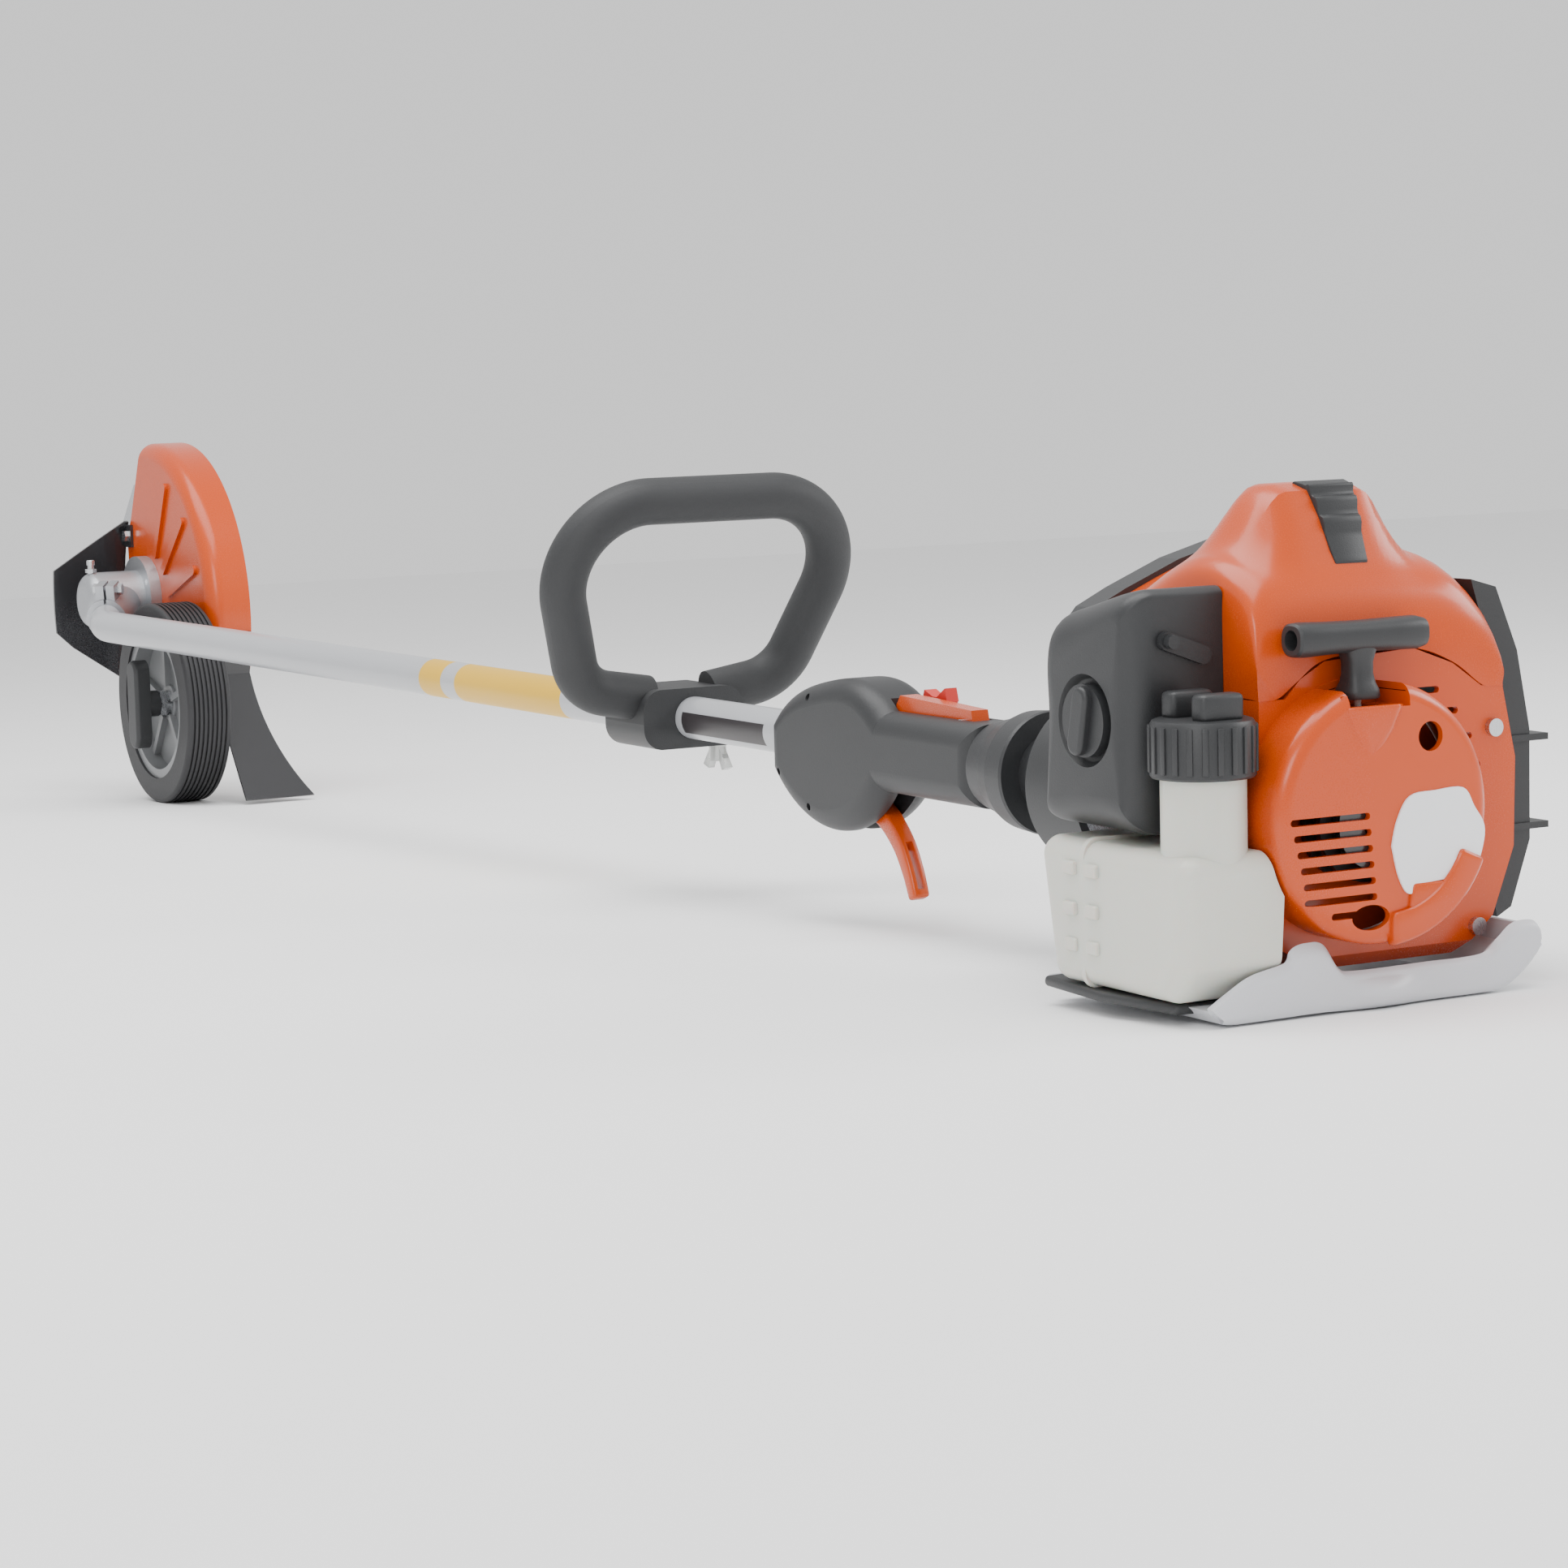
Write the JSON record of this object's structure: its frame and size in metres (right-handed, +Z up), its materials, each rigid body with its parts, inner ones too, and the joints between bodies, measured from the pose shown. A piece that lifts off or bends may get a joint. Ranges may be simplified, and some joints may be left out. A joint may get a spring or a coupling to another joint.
{
  "type": "stick lawn edger",
  "caption": "Petrol stick edger: two-stroke engine on a bent tube, upright spinning blade under a half-round guard, ground wheel, loop handle and throttle grip.",
  "frame": {"origin": "middle of the machine's box, on the surface that its wheel and skid stand on", "axes": "+X back along the machine towards the engine, +Y to the operator's right, +Z up"},
  "size_m": [1.7521, 0.225, 0.2773],
  "materials": {
    "orange_plastic": "gloss moulded",
    "dark_plastic": "fine grain",
    "grip_rubber": "soft matte",
    "tank_plastic": "translucent natural",
    "white_plastic": "satin",
    "tube_paint": "satin light grey",
    "cast_metal": "cast",
    "steel": "machined",
    "black_steel": "gloss black",
    "wheel_grey": "satin grey",
    "tyre_black": "moulded",
    "badge_white": "gloss",
    "switch_red": "gloss",
    "filter_foam": "open foam",
    "rope_fibre": "braided",
    "clear_plastic": "gloss pale"
  },
  "bodies": {
    "machine": {"shaft_tube": "tube_paint", "shaft_bushings": "dark_plastic", "flexible_link": "steel", "gear_case": "cast_metal", "bearings": "steel", "fasteners": "steel", "guard": "orange_plastic", "front_deflector": "black_steel", "rear_flap": "black_steel", "wheel_arm": "black_steel", "throttle_housing_left": "dark_plastic", "throttle_housing_right": "dark_plastic", "vibration_collar": "dark_plastic", "clutch_housing": "dark_plastic", "connecting_rod": "steel", "piston": "cast_metal", "crankcase": "cast_metal", "cylinder": "cast_metal", "spark_plug": "black_steel", "ignition_module": "dark_plastic", "recoil_spring": "steel", "starter_housing": "orange_plastic", "badge": "badge_white", "starter_rope": "rope_fibre", "top_cover": "orange_plastic", "cover_insert": "dark_plastic", "front_shroud": "dark_plastic", "carburettor": "cast_metal", "filter_element": "filter_foam", "muffler": "steel", "muffler_guard": "dark_plastic", "fuel_tank": "tank_plastic", "skid_plate": "white_plastic"},
    "drive": {"drive_shaft": "steel", "clutch_drum": "steel"},
    "pinion": {"bevel_pinion": "steel"},
    "cutter": {"arbor": "steel", "bevel_gear": "steel", "blade_fasteners": "steel", "blade": "steel"},
    "crank": {"crankshaft": "steel", "clutch_shoes": "steel", "flywheel": "cast_metal"},
    "wheel_carrier": {"wheel_axle": "steel"},
    "wheel": {"tyre": "tyre_black", "wheel_hub": "wheel_grey"},
    "wheel_knob": {"wheel_knob": "dark_plastic"},
    "loop": {"loop_handle": "grip_rubber", "handle_clamp": "dark_plastic"},
    "wing_nut": {"wing_nut": "clear_plastic"},
    "trigger": {"throttle_trigger": "orange_plastic"},
    "lockout": {"throttle_lockout": "orange_plastic"},
    "stop_switch": {"stop_switch": "switch_red"},
    "starter_grip": {"starter_handle": "dark_plastic"},
    "pulley": {"rope_pulley": "dark_plastic"},
    "fuel_cap": {"fuel_cap": "dark_plastic"},
    "filter_cover": {"filter_cover": "dark_plastic"},
    "filter_knob": {"filter_knob": "dark_plastic"},
    "choke": {"choke_lever": "dark_plastic"},
    "primer": {"primer_bulb": "clear_plastic"}
  },
  "joints": [
    {"name": "blade_spin", "type": "hinge", "parent": "machine", "child": "cutter", "pos_m": [-0.78629, 0.0295, 0.15539], "axis": [0, 1, 0], "continuous": true},
    {"name": "drive_spin", "type": "hinge", "parent": "machine", "child": "drive", "pos_m": [0.01267, -0.0125, 0.11148], "axis": [-0.9994, 0, 0.0349], "continuous": true},
    {"name": "pinion_spin", "type": "hinge", "parent": "machine", "child": "pinion", "pos_m": [-0.78629, 0.0295, 0.15539], "axis": [-0.7824, 0.5724, 0.2455], "continuous": true},
    {"name": "crank_spin", "type": "hinge", "parent": "machine", "child": "crank", "pos_m": [0.76221, -0.0125, 0.08531], "axis": [0.9994, 0, -0.0349], "continuous": true},
    {"name": "wheel_height", "type": "slide", "parent": "machine", "child": "wheel_carrier", "axis": [0.0349, 0, 0.9994], "range_m": [-0.018, 0.004]},
    {"name": "wheel_spin", "type": "hinge", "parent": "wheel_carrier", "child": "wheel", "pos_m": [-0.67896, 0.0245, 0.077], "axis": [0, 1, 0], "continuous": true},
    {"name": "wheel_knob_turn", "type": "hinge", "parent": "wheel_carrier", "child": "wheel_knob", "pos_m": [-0.67896, -0.0035, 0.077], "axis": [0, 1, 0], "range_deg": [-360, 0]},
    {"name": "loop_slide", "type": "slide", "parent": "machine", "child": "loop", "axis": [0.9994, 0, -0.0349], "range_m": [-0.15, 0.08]},
    {"name": "wing_nut_turn", "type": "hinge", "parent": "loop", "child": "wing_nut", "pos_m": [0.23483, 0.0095, 0.08371], "axis": [0.0349, 0, 0.9994], "range_deg": [-720, 0]},
    {"name": "trigger_squeeze", "type": "hinge", "parent": "machine", "child": "trigger", "pos_m": [0.44346, -0.0125, 0.06942], "axis": [0, 1, 0], "range_deg": [-16, 0], "stiffness_Nm_per_rad": 0.3, "springref_deg": 20.05},
    {"name": "lockout_press", "type": "hinge", "parent": "machine", "child": "lockout", "pos_m": [0.54704, -0.0125, 0.11284], "axis": [0, 1, 0], "range_deg": [-3.5, 0], "stiffness_Nm_per_rad": 0.3, "springref_deg": 14.32},
    {"name": "stop_switch_rock", "type": "hinge", "parent": "machine", "child": "stop_switch", "pos_m": [0.49493, 0.0005, 0.11065], "axis": [0, 1, 0], "range_deg": [0, 5], "stiffness_Nm_per_rad": 0.05, "springref_deg": -11.46},
    {"name": "starter_pull", "type": "slide", "parent": "machine", "child": "starter_grip", "axis": [0.0349, 0, 0.9994], "range_m": [0, 0.8], "stiffness_N_per_m": 12, "springref_m": -0.8, "deforming": ["starter_rope"]},
    {"name": "pulley_spin", "type": "hinge", "parent": "machine", "child": "pulley", "pos_m": [0.85815, -0.0125, 0.08196], "axis": [0.9994, 0, -0.0349], "range_deg": [0, 2050]},
    {"name": "fuel_cap_turn", "type": "hinge", "parent": "machine", "child": "fuel_cap", "pos_m": [0.8487, -0.0865, 0.11231], "axis": [0.0349, 0, 0.9994], "range_deg": [0, 720]},
    {"name": "filter_cover_pull", "type": "slide", "parent": "machine", "child": "filter_cover", "axis": [0, -1, 0], "range_m": [0, 0.06]},
    {"name": "filter_knob_turn", "type": "hinge", "parent": "filter_cover", "child": "filter_knob", "pos_m": [0.79076, -0.1075, 0.12934], "axis": [0, 1, 0], "range_deg": [0, 90]},
    {"name": "choke_turn", "type": "hinge", "parent": "filter_cover", "child": "choke", "pos_m": [0.82775, -0.0705, 0.15707], "axis": [0.9994, 0, -0.0349], "range_deg": [-35, 0]},
    {"name": "primer_press", "type": "slide", "parent": "machine", "child": "primer", "axis": [0.9994, 0, -0.0349], "range_m": [0, 0.0025], "stiffness_N_per_m": 300, "springref_m": -0.002}
  ],
  "couplings": [
    {"joint": "drive_spin", "follows": "blade_spin", "ratio": -1.5},
    {"joint": "pinion_spin", "follows": "blade_spin", "ratio": -1.5},
    {"joint": "pulley_spin", "follows": "starter_pull", "rad_per_m": 43.956}
  ]
}
